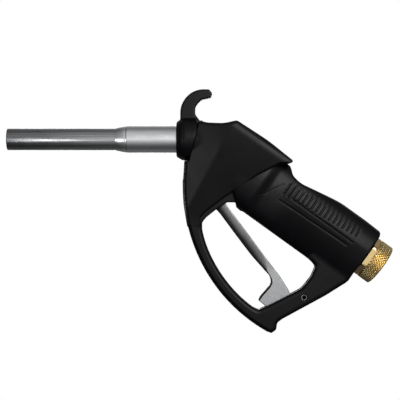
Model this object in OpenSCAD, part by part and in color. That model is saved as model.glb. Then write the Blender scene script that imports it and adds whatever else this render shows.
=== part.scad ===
// Fuel nozzle: aluminium spout, black two-half moulded housing with hood, grip and guard,
// a squeeze lever, a poppet valve inside, and a knurled brass swivel collar at the inlet.
// Frame: origin on the spout axis at the front face of the hook collar, -X towards the spout
// tip, +Z up, XZ the mid-plane. Millimetres.

/* [Spout] */
// outside diameter of the spout tube
tube_d = 21; // [19:0.5:22]
// bore of the spout tube
tube_bore_d = 17; // [14:0.5:18]
// how far the tube tip stands in front of the collar
tube_reach = 165; // [120:0.5:220]
// outside diameter of the thicker sleeve next to the collar
sleeve_d = 26; // [25:0.25:26]
// how far the sleeve stands in front of the collar, before its turned taper
sleeve_reach = 49; // [40:1:60]
// length of the turned taper between sleeve and tube
taper_len = 11; // [8:1:14]

/* [Collar and hook] */
// outside diameter of the hook collar
collar_d = 41.6; // [40:0.2:42]
// thickness of the hanging hook, across the nozzle
hook_w = 12; // [8:1:16]

/* [Housing] */
// half width of the hood at its widest
hood_half_w = 27; // [26:0.5:28]
// rounding of the hood's top edges
hood_round = 12; // [8:1:14]
// half width of the hood where its front crease ends
crease_half_w = 11; // [10:0.5:12]
// half thickness of the guard, its lower bar and the web
guard_half_w = 8.5; // [8:0.25:9]
// width of the stepped rim along the front of the guard
rim_w = 3.2; // [2:0.2:4]
// half width of the slot the lever tail swings in
slot_half_w = 3.4; // [3.2:0.1:4]

/* [Grip] */
// angle of the grip and inlet below the spout axis
grip_angle = 36; // [35:0.5:37]
// half width of the oval grip
grip_half_w = 19.5; // [19:0.25:20]
// number of crosswise ribs along the grip
rib_count = 16; // [10:1:17]
// spacing of the crosswise ribs
rib_pitch = 5; // [4:0.25:5]

/* [Lever] */
// half width of the lever's thick upper bar
bar_half_w = 5.5; // [4:0.25:5.75]
// half width of the lever's finger flange
flange_half_w = 8; // [6:0.5:9]
// half thickness of the lever's lower plate and tail
plate_half_w = 2.6; // [2:0.1:2.8]
// diameter of the lever pivot pin
pivot_d = 6; // [5:0.5:6]

/* [Valve] */
// outside radius of the valve chamber
chamber_r = 16; // [15.5:0.25:16.25]
// bore radius of the valve chamber
chamber_bore_r = 13.5; // [13:0.25:13.75]
// radius of the valve stem
stem_r = 2.5; // [2:0.1:2.6]
// outside radius of the supply tube inside the grip
supply_r = 14; // [13.5:0.25:15]

/* [Inlet] */
// outside diameter of the knurled swivel collar
knurl_d = 41.2; // [40:0.2:42]
// length of the knurled swivel collar
knurl_len = 13; // [12.5:0.25:13]
// bore radius of the collar's hose thread
thread_r = 15.15; // [15:0.05:15.5]

/* [Hidden] */
$fn = 64;
BLACK = [0.07, 0.07, 0.08];
ALLOY = [0.72, 0.73, 0.75];
STEEL = [0.6, 0.6, 0.62];
BRASS = [0.83, 0.68, 0.35];
RUBBER = [0.03, 0.03, 0.03];
tube_r = tube_d / 2;
sleeve_r = sleeve_d / 2;
// turned-down seats: the tube inside the sleeve, and the sleeve inside the collar and valve body
tube_seat_r = tube_r - 0.2;
sleeve_seat_r = sleeve_r - 0.3;
// front face of the hook collar's lip
lip_x = -1.3;
// end of the hose thread's wall inside the swivel collar, where its undercut begins
thread_end = 7.2;
socket_r = 16.5;
socket_end = 20;
// centre of the inlet opening, at the open face of the swivel collar
inlet = [196.65, 0, -122.5];
// how far back along the grip the valve chamber stands
valve_s = 158;
// the lever pivot
pivot = [35, -55];
pivot_r = pivot_d / 2;
// unit vectors in the side view: up across the grip, and back along it to the inlet
up = [sin(grip_angle), cos(grip_angle)];
back = [cos(grip_angle), -sin(grip_angle)];
// lever cam face, measured across the grip from the pivot
cam_face = 10.95;
// the lever tail's outer radius about the pivot
tail_r = 131;
// hold-open button centre in the side view, and its travel direction is +Y
lock = [122.1, -152.7];
// corner points of the hood's faceted side
crease_top = [53.5, -hood_half_w, 13.7];
crease_foot = [12, -crease_half_w, -62.7];
hood_tip = [110, -hood_half_w, -21];
nose_point = [8, -12, -20];
// grip oval in (across, sideways) coordinates
oval_low = -36.3;
oval_high = 27.6;
// screws: x, z, height of the head seat on the far side, depth on the near side
SCREWS = [[45, 4, 17, 12], [101, -18.5, 14, 10], [149.6, -119.2, 10, 8], [14, -48, 6, 6],
    [30, -119, 4.6, 5], [82, -177, 4.6, 5], [150, -134, 4.6, 5]];

// ---- outline helpers --------------------------------------------------------------------

function unit(v) = v / norm(v);

// one outline corner b between a and c, replaced by an arc of radius r
function corner(a, b, c, r) =
    let (u = unit(a - b), v = unit(c - b), half = acos(u * v) / 2,
        mid = b + unit(u + v) * r / sin(half), p = b + u * r / tan(half) - mid,
        q = b + v * r / tan(half) - mid, a0 = atan2(p.y, p.x),
        turn = (atan2(q.y, q.x) - a0 + 540) % 360 - 180,
        steps = max(2, ceil(abs(turn) * sqrt(r) / 40)))
    [for (i = [0:steps]) mid + r * [cos(a0 + turn * i / steps), sin(a0 + turn * i / steps)]];

// outline of [x, z] or [x, z, radius] corners with the radii put in
function rounded(pts) =
    let (n = len(pts))
    [for (i = [0:n - 1])
        let (a = pts[(i + n - 1) % n], b = pts[i], c = pts[(i + 1) % n])
        each len(b) < 3 ? [b] : corner([a.x, a.y], [b.x, b.y], [c.x, c.y], b[2])];

// point at t on a cubic curve with control points c
function curve(c, t) = (1 - t) ^ 3 * c[0] + 3 * (1 - t) ^ 2 * t * c[1]
    + 3 * (1 - t) * t ^ 2 * c[2] + t ^ 3 * c[3];

// that curve as points, moved sideways by inset
function curve_points(c, inset, steps) =
    [for (i = [0:steps])
        let (t = i / steps, d = unit(curve(c, t + 0.01) - curve(c, t - 0.01)))
        curve(c, t) + inset * [-d.y, d.x]];

FRONT = [[5.2, -40], [3.7, -93.9], [29, -153.5], [86.5, -186.2]];
INNER = [[23.9, -87], [28, -111], [46, -143], [72.7, -162.3]];

// side-view point given across and along the grip, measured from the pivot
function by_pivot(across, along) = pivot + across * up + along * back;

// ---- placing helpers --------------------------------------------------------------------

// extrude a side-view outline to both sides of the mid-plane
module slab(pts, half_w) {
    rotate([90, 0, 0])
        linear_extrude(height = 2 * half_w, center = true)
            polygon(pts);
}

// local Z runs up the grip from the inlet face, local X across the grip
module grip_frame() {
    translate(inlet)
        rotate([0, grip_angle - 90, 0])
            children();
}

// local Z runs across the grip, out of the chamber's top
module chamber_frame() {
    grip_frame()
        translate([0, 0, valve_s])
            rotate([0, 90, 0])
                children();
}

module grip_rod(from, to, r) {
    grip_frame()
        translate([0, 0, from])
            cylinder(h = to - from, r = r);
}

module chamber_rod(from, to, r) {
    chamber_frame()
        translate([0, 0, from])
            cylinder(h = to - from, r = r);
}

module spout_rod(from, to, r) {
    translate([from, 0, 0])
        rotate([0, 90, 0])
            cylinder(h = to - from, r = r);
}

// rod across the nozzle at a side-view point
module cross_rod(p, from, to, r) {
    translate([p.x, to, p.y])
        rotate([90, 0, 0])
            cylinder(h = to - from, r = r);
}

// a ring of round section about local Z
module o_ring(r, wire_r) {
    rotate_extrude()
        translate([r, 0])
            circle(r = wire_r, $fn = 24);
}

// everything on the far side of a plane through p with outward direction n
module beyond(p, n) {
    translate(p)
        rotate([0, acos(n.z), atan2(n.y, n.x)])
            translate([-200, -200, 0])
                cube([400, 400, 60]);
}

// pie slice about the pivot, in the side view
function pie(r, a0, a1) =
    [pivot, for (a = [a0:(a1 - a0) / 12:a1 + 0.01]) pivot + r * [cos(a), sin(a)]];

// wire coil about local Z, ends ground flat by the length
module coil(r, wire_r, length, turns) {
    per_turn = 18;
    sides = 6;
    steps = turns * per_turn;
    rise = (length - 2 * wire_r) / steps;
    pts = [for (i = [0:steps]) for (k = [0:sides - 1])
        let (a = i * 360 / per_turn, b = k * 360 / sides)
        [(r + wire_r * cos(b)) * cos(a), (r + wire_r * cos(b)) * sin(a),
            wire_r + i * rise + wire_r * sin(b)]];
    skin = [for (i = [0:steps - 1]) for (k = [0:sides - 1])
        let (m = (k + 1) % sides, p = i * sides)
        each [[p + k, p + sides + k, p + sides + m], [p + k, p + sides + m, p + m]]];
    first = [for (k = [1:sides - 2]) [0, k, k + 1]];
    last = [for (k = [1:sides - 2]) [steps * sides, steps * sides + k + 1, steps * sides + k]];
    polyhedron(points = pts, faces = concat(skin, first, last));
}

// ---- spout ------------------------------------------------------------------------------

module spout_tube() {
    tip_chamfer = 0.5;
    seat_end = sleeve_reach + taper_len + 0.6;
    color(ALLOY)
        rotate([0, -90, 0])
            rotate_extrude()
                polygon([[tube_bore_d / 2, -12], [tube_seat_r, -12], [tube_seat_r, seat_end],
                    [tube_r, seat_end], [tube_r, tube_reach - tip_chamfer],
                    [tube_r - tip_chamfer, tube_reach], [tube_bore_d / 2 + 0.4, tube_reach],
                    [tube_bore_d / 2, tube_reach - 0.4]]);
}

module spout_sleeve() {
    bore_r = tube_seat_r + 0.02;
    end = sleeve_reach + taper_len;
    groove = -13;
    color(ALLOY)
        rotate([0, -90, 0])
            rotate_extrude()
                polygon([[bore_r, -17.5], [sleeve_seat_r, -17.5], [sleeve_seat_r, groove - 1.1],
                    [sleeve_seat_r - 1.2, groove - 1.1], [sleeve_seat_r - 1.2, groove + 1.1],
                    [sleeve_seat_r, groove + 1.1], [sleeve_seat_r, -lip_x],
                    [sleeve_r, -lip_x], [sleeve_r, sleeve_reach],
                    for (t = [0:0.2:1]) [sleeve_r - 0.3 - (sleeve_r - tube_r - 0.6) * t ^ 1.6,
                        sleeve_reach + 0.4 + (taper_len - 0.4) * t],
                    [bore_r, end]]);
}

module spout_o_ring() {
    color(RUBBER)
        translate([13, 0, 0])
            rotate([0, 90, 0])
                o_ring(sleeve_seat_r - 0.6, 0.6);
}

module spout_set_screw() {
    color(STEEL)
        translate([8, 0, -20.2])
            difference() {
                cylinder(h = 20.2 - sleeve_seat_r - 0.05, r = 2.5);
                translate([0, 0, -1])
                    cylinder(h = 3.5, r = 1.4, $fn = 6);
            }
}

// ---- hook collar ------------------------------------------------------------------------

// the slanted plane where collar and housing meet, everything behind it
module behind_seam() {
    translate([16.7, 0, 0])
        rotate([0, 14.9, 0])
            translate([0, -60, -90])
                cube([260, 120, 130]);
}

module hook_collar() {
    outer = collar_d / 2;
    bore_r = sleeve_seat_r + 0.04;
    hook = rounded([[2.4, 12], [2.7, 33.2, 16], [14.4, 48.2, 14], [30.6, 48.2, 2.4], [33.6, 44.2, 2],
        [32.2, 40, 1.5], [24.5, 37.8, 6], [17.1, 35, 6], [17.1, 24, 4], [22, 17.3], [22, 12]]);
    color(BLACK)
        difference() {
            union() {
                rotate([0, 90, 0])
                    rotate_extrude()
                        polygon([[bore_r, lip_x], [14, lip_x], [17.6, 0.2], [outer - 0.4, 4.6],
                            [outer, 6.5], [outer, 17.6], [17.2, 22.4], [bore_r, 22.4]]);
                slab(hook, hook_w / 2);
            }
            behind_seam();
            spout_rod(1.8, 30, socket_r + 0.02);
            translate([8, 0, -24])
                cylinder(h = 10, r = 2.52);
        }
}

// ---- housing ----------------------------------------------------------------------------

// hood outline in the side view, neck and front spine included
HOOD = rounded([[10, 17], [21.8, 17.5], [29, 15.8, 20], [45, 15.2, 30], [57, 18.2, 3],
    [88, -1.6, 120], [111.4, -21, 1.6], [109.2, -23.4], [98, -23.4, 12], [76.5, -34.5],
    [45.2, -55.6, 30], [26.9, -69.6, 3], [22, -75, 3], [21, -84], [9.4, -84], [6, -62], [5.2, -40],
    [5.9, -30, 10], [6.4, -20.8], [10.6, -20.8]]);

// the recessed strip under the hood's lower edge, and the thicker stop block behind it
LUG = rounded([[16, -60], [20, -84], [24, -80], [28, -75.4, 2], [36, -69, 6], [47.9, -61.2, 1],
    [56.3, -61.2, 1], [56.5, -65.5, 3], [61, -69.5, 3], [75, -72], [75, -30], [30, -30]]);
STOP = rounded([[44.8, -59], [47.9, -61.2, 1], [56.3, -61.2, 1], [56.5, -65.5, 3], [61, -69.5, 3],
    [75, -72], [75, -30], [50, -36]]);

// grip outline, [along from the inlet face, across]
GRIP = [[15.7, -22, 3], [17.6, 22.5, 5], [19.2, 26.2, 3], [38, 27.5, 40], [66, 27.2, 60],
    [110, 18.5, 25], [120.5, 20.4, 9], [127.5, 27.2, 2], [166, 27], [166, -20], [145, -37.2, 3],
    [60, -36.3, 200], [24, -38.5, 4], [17.5, -31.5, 5]];

// lower bar and web from the guard's foot to the butt
WEB = rounded([[172.5, -130, 2], [163, -138.4, 12], [142.5, -151.2, 60], [101.2, -173.6, 8],
    [96.2, -177.4, 4], [95.3, -184, 3], [90.6, -187.4, 2.5], [76.5, -180.1], [60, -164],
    [72.6, -162.2], [77.5, -165, 5], [86, -161.4, 30], [119.8, -144.2, 18], [129, -132.5, 12],
    [133.2, -122.8, 3], [126, -114], [140, -100]]);

STRIP = concat(curve_points(FRONT, 0, 22), [[90.6, -187.4], [95, -180], [90, -171]],
    [for (p = [22:-1:0]) curve_points(INNER, 0, 22)[p]], [[23.5, -70], [6, -40]]);

// the whole hood: side outline, rounded top, and the planar facets of both sides
module hood_solid() {
    panel = unit(cross(crease_top - crease_foot, hood_tip - crease_foot));
    facet = unit(cross(crease_top - crease_foot, nose_point - crease_foot));
    sides = [0, 1];
    difference() {
        intersection() {
            slab(HOOD, hood_half_w);
            grip_frame()
                linear_extrude(height = 240)
                    polygon(rounded([[34.2, hood_half_w, hood_round], [34.2, -hood_half_w, hood_round],
                        [-90, -hood_half_w], [-90, hood_half_w]]));
            rotate([90, 0, 90])
                linear_extrude(height = 130)
                    polygon(rounded([[-hood_half_w - 3, -100], [hood_half_w + 3, -100],
                        [hood_half_w + 3, 18.2, 14], [-hood_half_w - 3, 18.2, 14]]));
        }
        for (s = sides)
            mirror([0, s, 0]) {
                beyond(crease_foot, panel.y > 0 ? -panel : panel);
                beyond(crease_foot, facet.y > 0 ? -facet : facet);
            }
    }
}

// oval across the grip, shrunk by inset
function oval(inset) =
    let (mid = (oval_high + oval_low) / 2, h = (oval_high - oval_low) / 2 - inset)
    [for (a = [5:10:355]) [mid + h * sign(cos(a)) * abs(cos(a)) ^ 0.84,
        (grip_half_w - inset) * sign(sin(a)) * abs(sin(a)) ^ 0.84]];

module oval_rod(inset, from, to) {
    grip_frame()
        translate([0, 0, from])
            linear_extrude(height = to - from)
                polygon(oval(inset));
}

// crosswise ribs, the long double groove and the panel line, as cuts reaching past the skin
module grip_cuts() {
    rib_groove = 1.8;
    difference() {
        grip_frame()
            union() {
                for (i = [0:rib_count])
                    translate([4 + 0.12 * i, -30, 38 + i * rib_pitch - rib_groove / 2])
                        cube([14.5 - 0.25 * i, 60, rib_groove]);
                for (offset = [-1.6, 1.6])
                    translate([offset, 0, 36.6])
                        rotate([0, -4.1, 0])
                            translate([-0.5, -30, 0])
                                cube([1, 60, 81]);
                translate([7.7, 0, 124])
                    rotate([0, -65, 0])
                        translate([-0.4, -30, 0])
                            cube([0.8, 60, 23]);
            }
        oval_rod(0.8, 10, 150);
    }
}

module grip_solid() {
    difference() {
        intersection() {
            oval_rod(0, 12, 162);
            slab([for (p = rounded(GRIP)) [inlet.x, inlet.z] - p.x * back + p.y * up], 30);
        }
        grip_cuts();
    }
}

module guard_solid() {
    rim = concat(curve_points(FRONT, -6, 22),
        [for (p = [22:-1:0]) curve_points(FRONT, rim_w, 22)[p]]);
    difference() {
        union() {
            slab(STRIP, guard_half_w);
            slab(WEB, guard_half_w);
        }
        for (side = [-1, 1])
            translate([0, side * (guard_half_w + 8.6), 0])
                slab(rim, 10);
    }
}

// pockets inside the housing for the valve, the lever and the pins
module housing_pockets() {
    gap = 0.4;
    chamber_rod(-18, 28.2, chamber_r + gap);
    chamber_rod(-24 - gap, -17, 12 + gap);
    chamber_rod(-32, -20, 6);
    grip_rod(10, valve_s, supply_r + gap);
    outlet_rod(0, 60, 10 + gap);
    spout_rod(0, socket_end + gap, socket_r + gap);
    spout_rod(10, 28.4, 12 + gap);
    // lever boss, cam arm and swing
    cross_rod(pivot, -bar_half_w - 0.8, bar_half_w + 0.8, 12.2);
    slab(pie(19.5, -88, 65), bar_half_w + 0.8);
    slab(pie(47, -84, -23), bar_half_w + 0.8);
    // tail slot through the lower bar and web
    slab(concat([for (a = [-67.5:3.25:-35]) pivot + (tail_r + 1.4) * [cos(a), sin(a)]],
        [for (a = [-35:-3.25:-67.6]) pivot + 112 * [cos(a), sin(a)]]), slot_half_w);
    cross_rod(pivot, -12, 12, pivot_r + 0.02);
    cross_rod(pivot, bar_half_w, 11.6, 7.5);
    // hold-open button
    cross_rod(lock, -5, 0, 2);
    cross_rod(lock, -20, -4, 3);
}

// the outlet passage from the chamber up to the spout socket
module outlet_rod(from, to, r) {
    translate([20.4, 0, 0])
        rotate([0, 135, 0])
            translate([0, 0, from])
                cylinder(h = to - from, r = r);
}

module housing() {
    difference() {
        union() {
            hood_solid();
            spout_rod(8, 40, 19.6);
            slab(LUG, guard_half_w);
            slab(STOP, 13);
            grip_solid();
            guard_solid();
        }
        // keep the neck under the hood's top line and behind the collar seam
        translate([24, -30, 15.6])
            cube([17, 60, 10]);
        difference() {
            translate([-5, -40, -22.4])
                cube([40, 80, 60]);
            behind_seam();
        }
        housing_pockets();
        for (s = SCREWS)
            screw_hole(s);
    }
}

module screw_hole(s) {
    cross_rod([s.x, s.y], -s[3], s[2] + 1, 1.77);
    cross_rod([s.x, s.y], s[2], 40, 3.6);
}

module housing_left() {
    color(BLACK)
        intersection() {
            housing();
            translate([-20, -60, -220])
                cube([260, 60, 300]);
        }
}

module housing_right() {
    color(BLACK)
        intersection() {
            housing();
            translate([-20, 0, -220])
                cube([260, 60, 300]);
        }
}

module housing_screws() {
    head_h = 2.6;
    color(STEEL)
        for (s = SCREWS)
            difference() {
                union() {
                    cross_rod([s.x, s.y], 0.5 - s[3], s[2] + 0.1, 1.75);
                    cross_rod([s.x, s.y], s[2], s[2] + head_h, 3.3);
                }
                translate([s.x, s[2] + head_h + 1, s.y])
                    rotate([90, 0, 0])
                        cylinder(h = 2.6, r = 1.6, $fn = 6);
            }
}

// ---- valve ------------------------------------------------------------------------------

module valve_body() {
    color(ALLOY)
        difference() {
            union() {
                chamber_rod(-18, 24, chamber_r);
                chamber_rod(-24, -17, 12);
                grip_rod(24, valve_s, supply_r);
                outlet_rod(0, 54, 10);
                spout_rod(2, socket_end, socket_r);
                spout_rod(14, 28, 12);
            }
            chamber_rod(-10, 30, chamber_bore_r);
            chamber_rod(-18, -9, 9);
            chamber_rod(-30, -17, 5.5);
            grip_rod(20, valve_s, 11);
            spout_rod(-1, 17.5, sleeve_seat_r + 0.02);
            outlet_rod(0, 52, 7);
            translate([8, 0, -24])
                cylinder(h = 14, r = 2.52);
        }
}

module valve_seat() {
    color(BRASS)
        chamber_frame()
            rotate_extrude()
                polygon([[7.5, -10], [chamber_bore_r - 0.02, -10], [chamber_bore_r - 0.02, -7.6],
                    [10.6, -7.6], [10.4, -7], [8, -7], [7.5, -7.6]]);
}

module poppet() {
    color(BRASS)
        chamber_frame()
            rotate_extrude()
                polygon([[0, -7], [6.4, -7], [6.4, -6], [11, -6], [11, -3.6], [10.4, -3], [5, -3],
                    [5, 1], [4.4, 1.6], [0, 1.6]]);
}

module poppet_seal() {
    color(RUBBER)
        chamber_frame()
            rotate_extrude()
                polygon([[6.42, -7], [11, -7], [11, -6], [6.42, -6]]);
}

module valve_stem() {
    color(STEEL)
        chamber_frame()
            rotate_extrude()
                polygon([[0, -29], for (a = [15:15:90]) stem_r * [sin(a), -cos(a)]
                    + [0, stem_r - 29], [stem_r, -7], [0, -7]]);
}

module valve_spring() {
    color(STEEL)
        chamber_frame()
            translate([0, 0, -3])
                coil(7.5, 1, 19, 5);
}

module valve_cap() {
    color(BRASS)
        chamber_frame()
            difference() {
                rotate_extrude()
                    polygon([[0, 16], [chamber_bore_r - 0.02, 16], [chamber_bore_r - 0.02, 19.2],
                        [12.2, 19.2], [12.2, 21], [chamber_bore_r - 0.02, 21],
                        [chamber_bore_r - 0.02, 24], [chamber_r, 24], [chamber_r, 27],
                        [chamber_r - 0.8, 27.8], [0, 27.8]]);
                translate([0, 0, 24.5])
                    cylinder(h = 5, r = 5, $fn = 6);
            }
}

module cap_o_ring() {
    color(RUBBER)
        chamber_frame()
            translate([0, 0, 20.1])
                o_ring(12.85, 0.64);
}

module gland_nut() {
    color(BRASS)
        chamber_frame()
            difference() {
                translate([0, 0, -24])
                    cylinder(h = 4, r = 5.48);
                translate([0, 0, -25])
                    cylinder(h = 6, r = stem_r + 0.08);
            }
}

module stem_packing() {
    color(RUBBER)
        chamber_frame()
            difference() {
                translate([0, 0, -20])
                    cylinder(h = 2, r = 5.48);
                translate([0, 0, -21])
                    cylinder(h = 4, r = stem_r + 0.05);
            }
}

// ---- lever ------------------------------------------------------------------------------

// thick upper bar down to where it thins into the plate
BAR = rounded([[29, -60], [41.5, -73], [71.9, -113.6, 90], [88.5, -131.5, 3], [96, -128.5, 3],
    [83.7, -112.6, 90], [68.2, -91.3], [49.1, -66.1, 6], [41.5, -54]]);

// flat lower plate with its tail, which ends on a circle about the pivot
PLATE = concat(rounded([[95.9, -171], [83.2, -162], [82.6, -155], [91, -139, 8], [84, -126],
    [92.5, -124], [97.5, -130.1, 60], [107.4, -145.6, 30], [109.6, -151.5]]),
    [for (a = [-54:-1:-62]) pivot + tail_r * [cos(a), sin(a)]]);

// finger flange along the front edge, scooping forward at its foot
FLANGE = rounded([[41.5, -73], [71.9, -113.6, 90], [89.3, -132.5, 8], [90.6, -139.5, 8],
    [80, -151.6, 4], [77.9, -155.6, 0.8], [81, -158.9, 0.8], [87, -151], [95, -141, 9],
    [93, -130, 9], [75, -110.6, 90], [45.6, -71]]);

module lever() {
    color(ALLOY)
        difference() {
            union() {
                cross_rod(pivot, -bar_half_w, bar_half_w, 8);
                slab([by_pivot(cam_face, 4.5), by_pivot(cam_face, 14.5), by_pivot(5, 14.5),
                    by_pivot(-5, 6), by_pivot(2, -5)], 4);
                slab(BAR, bar_half_w);
                slab(PLATE, plate_half_w);
                slab(FLANGE, flange_half_w);
            }
            cross_rod(pivot, -20, 20, pivot_r + 0.06);
        }
}

module lever_pivot_pin() {
    color(STEEL)
        cross_rod(pivot, -11.8, 11.8, pivot_r);
}

module lever_spring() {
    color(STEEL)
        translate([pivot.x, bar_half_w + 0.9, pivot.y])
            rotate([-90, 0, 0])
                coil(5.2, 0.7, 5, 3);
}

module lock_button() {
    color(STEEL)
        translate([lock.x, -8.6, lock.y])
            rotate([-90, 0, 0])
                rotate_extrude()
                    polygon([[0, 0], for (a = [15:15:90]) [2.3 * sin(a), 0.9 - 0.9 * cos(a)],
                        [2.3, 1.4], [1.9, 1.4], [1.9, 4.7], [0, 4.7]]);
}

module lock_spring() {
    color(STEEL)
        translate([lock.x, -7.15, lock.y])
            rotate([-90, 0, 0])
                coil(2.4, 0.25, 3.1, 4);
}

// ---- inlet ------------------------------------------------------------------------------

module inlet_adapter() {
    color(BRASS)
        grip_frame()
            difference() {
                union() {
                    rotate_extrude()
                        polygon([[8.6, 8.8], [14.4, 8.8], [14.4, 10.9], [12.5, 10.9], [12.5, 14],
                            [13.4, 17], [13.4, 24], [10.96, 24], [10.96, 30], [9.7, 30], [9.7, 32],
                            [10.96, 32], [10.96, 37.4], [10.4, 38], [8.6, 38]]);
                    difference() {
                        translate([0, 0, knurl_len + 0.3])
                            cylinder(h = 2.2, r = 20.6, $fn = 6);
                        translate([0, 0, knurl_len])
                            cylinder(h = 3, r = 12);
                    }
                }
            }
}

module adapter_o_ring() {
    color(RUBBER)
        grip_frame()
            translate([0, 0, 31])
                o_ring(10.35, 0.64);
}

module swivel_collar() {
    r = knurl_d / 2;
    color(BRASS)
        grip_frame()
            rotate_extrude()
                polygon([[thread_r + 0.8, 0], [r - 1.2, 0], [r, 1.2], [r, knurl_len - 1.6],
                    [r - 1.6, knurl_len], [12.58, knurl_len], [12.58, 11.1],
                    [thread_r + 0.7, 11.1], [thread_r + 0.7, thread_end], [thread_r, thread_end],
                    [thread_r, 0.8]]);
}

module inlet_washer() {
    color(RUBBER)
        grip_frame()
            difference() {
                translate([0, 0, 7.4])
                    cylinder(h = 1.4, r = 14.4);
                translate([0, 0, 6])
                    cylinder(h = 4, r = 9.2);
            }
}

module inlet_strainer() {
    color(STEEL)
        grip_frame()
            difference() {
                translate([0, 0, 9])
                    cylinder(h = 26, r = 8.5);
                translate([0, 0, 8])
                    cylinder(h = 26.4, r = 7.9);
                for (i = [0:3])
                    rotate([0, 0, i * 45])
                        for (j = [0:3])
                            translate([-10, -1.3, 11 + 5.4 * j])
                                cube([20, 2.6, 4]);
            }
}

spout_tube();
spout_sleeve();
spout_o_ring();
spout_set_screw();
hook_collar();
housing_left();
housing_right();
housing_screws();
valve_body();
valve_seat();
poppet();
poppet_seal();
valve_stem();
valve_spring();
valve_cap();
cap_o_ring();
gland_nut();
stem_packing();
lever();
lever_pivot_pin();
lever_spring();
lock_button();
lock_spring();
inlet_adapter();
adapter_o_ring();
swivel_collar();
inlet_washer();
inlet_strainer();
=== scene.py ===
import math

import bmesh
import bpy
import numpy as np
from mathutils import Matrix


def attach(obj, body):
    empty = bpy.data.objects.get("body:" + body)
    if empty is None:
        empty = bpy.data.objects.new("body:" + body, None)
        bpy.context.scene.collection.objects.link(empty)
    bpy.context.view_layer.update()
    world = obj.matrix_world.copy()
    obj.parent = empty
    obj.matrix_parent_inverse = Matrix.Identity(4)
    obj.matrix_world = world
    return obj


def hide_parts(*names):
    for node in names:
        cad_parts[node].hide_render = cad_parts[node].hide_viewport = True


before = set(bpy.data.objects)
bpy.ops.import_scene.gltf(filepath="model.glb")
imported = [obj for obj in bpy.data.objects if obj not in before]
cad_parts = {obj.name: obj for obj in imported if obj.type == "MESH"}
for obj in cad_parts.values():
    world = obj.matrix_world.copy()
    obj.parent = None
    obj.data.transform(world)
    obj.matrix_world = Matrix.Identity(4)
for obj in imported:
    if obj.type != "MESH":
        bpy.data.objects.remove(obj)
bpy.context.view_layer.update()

# ---- Studio -------------------------------------------------------------------------------
# A long lens square to the nozzle's side, a bright strip of light just above the lens and a dim
# lower half that leaves the black moulding dark underneath. A soft light stands behind, and a
# pale floor lies well below.

LENS_DISTANCE = 1.2
VIEW_CENTRE = (0.0217, -0.0588)
VIEW_WIDTH = 0.388
SENSOR = 36.0

camera_data = bpy.data.cameras.new("long_lens")
camera_data.sensor_width = SENSOR
camera_data.lens = SENSOR * LENS_DISTANCE / VIEW_WIDTH
camera = bpy.data.objects.new("long_lens", camera_data)
camera.location = (VIEW_CENTRE[0], -LENS_DISTANCE, VIEW_CENTRE[1])
camera.rotation_euler = (math.pi / 2, 0, 0)
bpy.context.collection.objects.link(camera)
scene = bpy.context.scene
scene.camera = camera
scene.view_settings.view_transform = "Standard"


def node_adder(tree):
    """Returns add(kind, inputs, **settings), which makes one shader node and wires its inputs."""

    def add(kind, inputs=None, **settings):
        made = tree.nodes.new(kind)
        for name, value in settings.items():
            setattr(made, name, value)
        for key, value in (inputs or {}).items():
            if isinstance(value, bpy.types.NodeSocket):
                tree.links.new(value, made.inputs[key])
            else:
                made.inputs[key].default_value = value
        return made

    return add


def fill_ramp(ramp, stops):
    """Gives a colour ramp node these (position, colour) stops."""
    band = ramp.color_ramp
    while len(band.elements) > 1:
        band.elements.remove(band.elements[-1])
    for i, (position, colour) in enumerate(stops):
        stop = band.elements[0] if i == 0 else band.elements.new(position)
        stop.position = position
        stop.color = tuple(colour) + (1,) if len(colour) == 3 else colour
    return ramp


# brightness of the studio all round the spout's axis: degrees above the lens, then level
STUDIO = [(-180, 0.30), (-148, 0.155), (-124, 0.155), (-108, 0.125), (-94, 0.085), (-82, 0.07),
          (-70, 0.08), (-60, 0.10), (-50, 0.16), (-40, 0.26), (-31, 0.37), (-22, 0.48),
          (-13, 0.66), (-4, 0.86), (4, 0.88), (13, 0.74), (22, 0.66), (40, 0.63), (50, 0.58),
          (60, 0.53), (70, 0.44), (82, 0.30), (94, 0.22), (108, 0.19), (124, 0.27), (148, 0.55),
          (165, 0.5)]

# how that light falls off toward the tip's side (-1) and the hose's side (1)
REACH = [(-1, 0.15), (-0.55, 0.35), (-0.3, 0.5), (-0.18, 0.95), (-0.04, 1.0), (0.0, 0.8),
         (0.03, 0.7), (0.065, 0.7), (0.1, 0.8), (0.15, 0.9), (0.24, 0.9), (0.4, 0.8),
         (0.6, 0.6), (1, 0.3)]

world = bpy.data.worlds.new("studio")
scene.world = world
world.use_nodes = True
tree = world.node_tree
tree.nodes.clear()
add = node_adder(tree)
toward = add("ShaderNodeSeparateXYZ", {0: add("ShaderNodeTexCoord").outputs["Generated"]})
front = add("ShaderNodeMath", {0: toward.outputs["Y"], 1: -1.0}, operation="MULTIPLY")
angle = add("ShaderNodeMath", {0: toward.outputs["Z"], 1: front.outputs[0]}, operation="ARCTAN2")
part_turn = add("ShaderNodeMath", {0: angle.outputs[0], 1: 1 / (2 * math.pi), 2: 0.5},
                operation="MULTIPLY_ADD")
ring = fill_ramp(add("ShaderNodeValToRGB", {0: part_turn.outputs[0]}),
                 [(degrees / 360 + 0.5, (level, level, level * 1.01)) for degrees, level in STUDIO])
along_spout = add("ShaderNodeMath", {0: toward.outputs["X"], 1: 0.5, 2: 0.5},
                  operation="MULTIPLY_ADD")
reach = fill_ramp(add("ShaderNodeValToRGB", {0: along_spout.outputs[0]}),
                  [(x / 2 + 0.5, (level, level, level)) for x, level in REACH])
studio_light = add("ShaderNodeBackground", {"Color": ring.outputs["Color"],
                                            "Strength": reach.outputs["Color"]})
paper = add("ShaderNodeBackground", {"Color": (1, 1, 1, 1), "Strength": 1.0})
seen = add("ShaderNodeMixShader", {0: add("ShaderNodeLightPath").outputs["Is Camera Ray"],
                                   1: studio_light.outputs[0], 2: paper.outputs[0]})
tree.links.new(seen.outputs[0], add("ShaderNodeOutputWorld").inputs["Surface"])


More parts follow.
